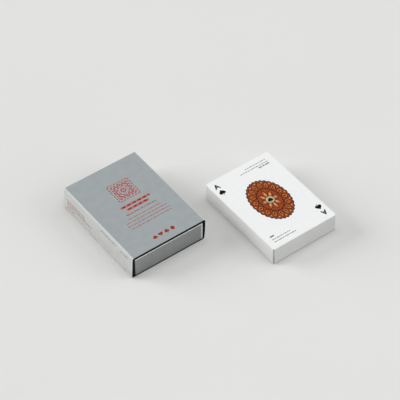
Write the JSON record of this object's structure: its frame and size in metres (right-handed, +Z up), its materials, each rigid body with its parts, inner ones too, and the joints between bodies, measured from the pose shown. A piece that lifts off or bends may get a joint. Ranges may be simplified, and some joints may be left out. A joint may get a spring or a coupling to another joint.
{
  "type": "deck of playing cards with slide case",
  "caption": "Deck of playing cards face up beside its slide case, a folded foil-board sleeve round a roll-end tray; the tray slides through the sleeve and each card draws out of the stack.",
  "frame": {"origin": "under the middle of the whole group, on the surface that the case and the deck lie on", "axes": "+Z up, +X across the case towards the deck, +Y along the case away from the end that shows"},
  "size_m": [0.1606, 0.1494, 0.0214],
  "materials": {
    "foil_board": "silver-faced board with a fine satin grain, dark core at the cut edges",
    "card_stock": "smooth white coated card stock"
  },
  "bodies": {
    "case_sleeve": {"case_sleeve": "foil_board"},
    "case_tray": {"case_tray": "foil_board"},
    "ace_of_spades": {"ace_of_spades": "card_stock"},
    "two_of_spades": {"two_of_spades": "card_stock"},
    "three_of_spades": {"three_of_spades": "card_stock"},
    "four_of_spades": {"four_of_spades": "card_stock"},
    "five_of_spades": {"five_of_spades": "card_stock"},
    "six_of_spades": {"six_of_spades": "card_stock"},
    "seven_of_spades": {"seven_of_spades": "card_stock"},
    "eight_of_spades": {"eight_of_spades": "card_stock"},
    "nine_of_spades": {"nine_of_spades": "card_stock"},
    "ten_of_spades": {"ten_of_spades": "card_stock"},
    "jack_of_spades": {"jack_of_spades": "card_stock"},
    "queen_of_spades": {"queen_of_spades": "card_stock"},
    "king_of_spades": {"king_of_spades": "card_stock"},
    "ace_of_hearts": {"ace_of_hearts": "card_stock"},
    "two_of_hearts": {"two_of_hearts": "card_stock"},
    "three_of_hearts": {"three_of_hearts": "card_stock"},
    "four_of_hearts": {"four_of_hearts": "card_stock"},
    "five_of_hearts": {"five_of_hearts": "card_stock"},
    "six_of_hearts": {"six_of_hearts": "card_stock"},
    "seven_of_hearts": {"seven_of_hearts": "card_stock"},
    "eight_of_hearts": {"eight_of_hearts": "card_stock"},
    "nine_of_hearts": {"nine_of_hearts": "card_stock"},
    "ten_of_hearts": {"ten_of_hearts": "card_stock"},
    "jack_of_hearts": {"jack_of_hearts": "card_stock"},
    "queen_of_hearts": {"queen_of_hearts": "card_stock"},
    "king_of_hearts": {"king_of_hearts": "card_stock"},
    "ace_of_clubs": {"ace_of_clubs": "card_stock"},
    "two_of_clubs": {"two_of_clubs": "card_stock"},
    "three_of_clubs": {"three_of_clubs": "card_stock"},
    "four_of_clubs": {"four_of_clubs": "card_stock"},
    "five_of_clubs": {"five_of_clubs": "card_stock"},
    "six_of_clubs": {"six_of_clubs": "card_stock"},
    "seven_of_clubs": {"seven_of_clubs": "card_stock"},
    "eight_of_clubs": {"eight_of_clubs": "card_stock"},
    "nine_of_clubs": {"nine_of_clubs": "card_stock"},
    "ten_of_clubs": {"ten_of_clubs": "card_stock"},
    "jack_of_clubs": {"jack_of_clubs": "card_stock"},
    "queen_of_clubs": {"queen_of_clubs": "card_stock"},
    "king_of_clubs": {"king_of_clubs": "card_stock"},
    "ace_of_diamonds": {"ace_of_diamonds": "card_stock"},
    "two_of_diamonds": {"two_of_diamonds": "card_stock"},
    "three_of_diamonds": {"three_of_diamonds": "card_stock"},
    "four_of_diamonds": {"four_of_diamonds": "card_stock"},
    "five_of_diamonds": {"five_of_diamonds": "card_stock"},
    "six_of_diamonds": {"six_of_diamonds": "card_stock"},
    "seven_of_diamonds": {"seven_of_diamonds": "card_stock"},
    "eight_of_diamonds": {"eight_of_diamonds": "card_stock"},
    "nine_of_diamonds": {"nine_of_diamonds": "card_stock"},
    "ten_of_diamonds": {"ten_of_diamonds": "card_stock"},
    "jack_of_diamonds": {"jack_of_diamonds": "card_stock"},
    "queen_of_diamonds": {"queen_of_diamonds": "card_stock"},
    "king_of_diamonds": {"king_of_diamonds": "card_stock"},
    "red_joker": {"red_joker": "card_stock"},
    "black_joker": {"black_joker": "card_stock"}
  },
  "joints": [
    {"name": "case_tray_slide", "type": "slide", "parent": "case_sleeve", "child": "case_tray", "axis": [0, -1, 0], "range_m": [-0.095, 0.095]},
    {"name": "deck_lift", "type": "slide", "parent": "case_sleeve", "child": "black_joker", "axis": [0, 0, 1], "range_m": [0, 0.08]},
    {"name": "ace_of_spades_draw", "type": "slide", "parent": "black_joker", "child": "ace_of_spades", "axis": [0, -1, 0], "range_m": [0, 0.092]},
    {"name": "two_of_spades_draw", "type": "slide", "parent": "black_joker", "child": "two_of_spades", "axis": [0, -1, 0], "range_m": [0, 0.092]},
    {"name": "three_of_spades_draw", "type": "slide", "parent": "black_joker", "child": "three_of_spades", "axis": [0, -1, 0], "range_m": [0, 0.092]},
    {"name": "four_of_spades_draw", "type": "slide", "parent": "black_joker", "child": "four_of_spades", "axis": [0, -1, 0], "range_m": [0, 0.092]},
    {"name": "five_of_spades_draw", "type": "slide", "parent": "black_joker", "child": "five_of_spades", "axis": [0, -1, 0], "range_m": [0, 0.092]},
    {"name": "six_of_spades_draw", "type": "slide", "parent": "black_joker", "child": "six_of_spades", "axis": [0, -1, 0], "range_m": [0, 0.092]},
    {"name": "seven_of_spades_draw", "type": "slide", "parent": "black_joker", "child": "seven_of_spades", "axis": [0, -1, 0], "range_m": [0, 0.092]},
    {"name": "eight_of_spades_draw", "type": "slide", "parent": "black_joker", "child": "eight_of_spades", "axis": [0, -1, 0], "range_m": [0, 0.092]},
    {"name": "nine_of_spades_draw", "type": "slide", "parent": "black_joker", "child": "nine_of_spades", "axis": [0, -1, 0], "range_m": [0, 0.092]},
    {"name": "ten_of_spades_draw", "type": "slide", "parent": "black_joker", "child": "ten_of_spades", "axis": [0, -1, 0], "range_m": [0, 0.092]},
    {"name": "jack_of_spades_draw", "type": "slide", "parent": "black_joker", "child": "jack_of_spades", "axis": [0, -1, 0], "range_m": [0, 0.092]},
    {"name": "queen_of_spades_draw", "type": "slide", "parent": "black_joker", "child": "queen_of_spades", "axis": [0, -1, 0], "range_m": [0, 0.092]},
    {"name": "king_of_spades_draw", "type": "slide", "parent": "black_joker", "child": "king_of_spades", "axis": [0, -1, 0], "range_m": [0, 0.092]},
    {"name": "ace_of_hearts_draw", "type": "slide", "parent": "black_joker", "child": "ace_of_hearts", "axis": [0, -1, 0], "range_m": [0, 0.092]},
    {"name": "two_of_hearts_draw", "type": "slide", "parent": "black_joker", "child": "two_of_hearts", "axis": [0, -1, 0], "range_m": [0, 0.092]},
    {"name": "three_of_hearts_draw", "type": "slide", "parent": "black_joker", "child": "three_of_hearts", "axis": [0, -1, 0], "range_m": [0, 0.092]},
    {"name": "four_of_hearts_draw", "type": "slide", "parent": "black_joker", "child": "four_of_hearts", "axis": [0, -1, 0], "range_m": [0, 0.092]},
    {"name": "five_of_hearts_draw", "type": "slide", "parent": "black_joker", "child": "five_of_hearts", "axis": [0, -1, 0], "range_m": [0, 0.092]},
    {"name": "six_of_hearts_draw", "type": "slide", "parent": "black_joker", "child": "six_of_hearts", "axis": [0, -1, 0], "range_m": [0, 0.092]},
    {"name": "seven_of_hearts_draw", "type": "slide", "parent": "black_joker", "child": "seven_of_hearts", "axis": [0, -1, 0], "range_m": [0, 0.092]},
    {"name": "eight_of_hearts_draw", "type": "slide", "parent": "black_joker", "child": "eight_of_hearts", "axis": [0, -1, 0], "range_m": [0, 0.092]},
    {"name": "nine_of_hearts_draw", "type": "slide", "parent": "black_joker", "child": "nine_of_hearts", "axis": [0, -1, 0], "range_m": [0, 0.092]},
    {"name": "ten_of_hearts_draw", "type": "slide", "parent": "black_joker", "child": "ten_of_hearts", "axis": [0, -1, 0], "range_m": [0, 0.092]},
    {"name": "jack_of_hearts_draw", "type": "slide", "parent": "black_joker", "child": "jack_of_hearts", "axis": [0, -1, 0], "range_m": [0, 0.092]},
    {"name": "queen_of_hearts_draw", "type": "slide", "parent": "black_joker", "child": "queen_of_hearts", "axis": [0, -1, 0], "range_m": [0, 0.092]},
    {"name": "king_of_hearts_draw", "type": "slide", "parent": "black_joker", "child": "king_of_hearts", "axis": [0, -1, 0], "range_m": [0, 0.092]},
    {"name": "ace_of_clubs_draw", "type": "slide", "parent": "black_joker", "child": "ace_of_clubs", "axis": [0, -1, 0], "range_m": [0, 0.092]},
    {"name": "two_of_clubs_draw", "type": "slide", "parent": "black_joker", "child": "two_of_clubs", "axis": [0, -1, 0], "range_m": [0, 0.092]},
    {"name": "three_of_clubs_draw", "type": "slide", "parent": "black_joker", "child": "three_of_clubs", "axis": [0, -1, 0], "range_m": [0, 0.092]},
    {"name": "four_of_clubs_draw", "type": "slide", "parent": "black_joker", "child": "four_of_clubs", "axis": [0, -1, 0], "range_m": [0, 0.092]},
    {"name": "five_of_clubs_draw", "type": "slide", "parent": "black_joker", "child": "five_of_clubs", "axis": [0, -1, 0], "range_m": [0, 0.092]},
    {"name": "six_of_clubs_draw", "type": "slide", "parent": "black_joker", "child": "six_of_clubs", "axis": [0, -1, 0], "range_m": [0, 0.092]},
    {"name": "seven_of_clubs_draw", "type": "slide", "parent": "black_joker", "child": "seven_of_clubs", "axis": [0, -1, 0], "range_m": [0, 0.092]},
    {"name": "eight_of_clubs_draw", "type": "slide", "parent": "black_joker", "child": "eight_of_clubs", "axis": [0, -1, 0], "range_m": [0, 0.092]},
    {"name": "nine_of_clubs_draw", "type": "slide", "parent": "black_joker", "child": "nine_of_clubs", "axis": [0, -1, 0], "range_m": [0, 0.092]},
    {"name": "ten_of_clubs_draw", "type": "slide", "parent": "black_joker", "child": "ten_of_clubs", "axis": [0, -1, 0], "range_m": [0, 0.092]},
    {"name": "jack_of_clubs_draw", "type": "slide", "parent": "black_joker", "child": "jack_of_clubs", "axis": [0, -1, 0], "range_m": [0, 0.092]},
    {"name": "queen_of_clubs_draw", "type": "slide", "parent": "black_joker", "child": "queen_of_clubs", "axis": [0, -1, 0], "range_m": [0, 0.092]},
    {"name": "king_of_clubs_draw", "type": "slide", "parent": "black_joker", "child": "king_of_clubs", "axis": [0, -1, 0], "range_m": [0, 0.092]},
    {"name": "ace_of_diamonds_draw", "type": "slide", "parent": "black_joker", "child": "ace_of_diamonds", "axis": [0, -1, 0], "range_m": [0, 0.092]},
    {"name": "two_of_diamonds_draw", "type": "slide", "parent": "black_joker", "child": "two_of_diamonds", "axis": [0, -1, 0], "range_m": [0, 0.092]},
    {"name": "three_of_diamonds_draw", "type": "slide", "parent": "black_joker", "child": "three_of_diamonds", "axis": [0, -1, 0], "range_m": [0, 0.092]},
    {"name": "four_of_diamonds_draw", "type": "slide", "parent": "black_joker", "child": "four_of_diamonds", "axis": [0, -1, 0], "range_m": [0, 0.092]},
    {"name": "five_of_diamonds_draw", "type": "slide", "parent": "black_joker", "child": "five_of_diamonds", "axis": [0, -1, 0], "range_m": [0, 0.092]},
    {"name": "six_of_diamonds_draw", "type": "slide", "parent": "black_joker", "child": "six_of_diamonds", "axis": [0, -1, 0], "range_m": [0, 0.092]},
    {"name": "seven_of_diamonds_draw", "type": "slide", "parent": "black_joker", "child": "seven_of_diamonds", "axis": [0, -1, 0], "range_m": [0, 0.092]},
    {"name": "eight_of_diamonds_draw", "type": "slide", "parent": "black_joker", "child": "eight_of_diamonds", "axis": [0, -1, 0], "range_m": [0, 0.092]},
    {"name": "nine_of_diamonds_draw", "type": "slide", "parent": "black_joker", "child": "nine_of_diamonds", "axis": [0, -1, 0], "range_m": [0, 0.092]},
    {"name": "ten_of_diamonds_draw", "type": "slide", "parent": "black_joker", "child": "ten_of_diamonds", "axis": [0, -1, 0], "range_m": [0, 0.092]},
    {"name": "jack_of_diamonds_draw", "type": "slide", "parent": "black_joker", "child": "jack_of_diamonds", "axis": [0, -1, 0], "range_m": [0, 0.092]},
    {"name": "queen_of_diamonds_draw", "type": "slide", "parent": "black_joker", "child": "queen_of_diamonds", "axis": [0, -1, 0], "range_m": [0, 0.092]},
    {"name": "king_of_diamonds_draw", "type": "slide", "parent": "black_joker", "child": "king_of_diamonds", "axis": [0, -1, 0], "range_m": [0, 0.092]},
    {"name": "red_joker_draw", "type": "slide", "parent": "black_joker", "child": "red_joker", "axis": [0, -1, 0], "range_m": [0, 0.092]}
  ]
}
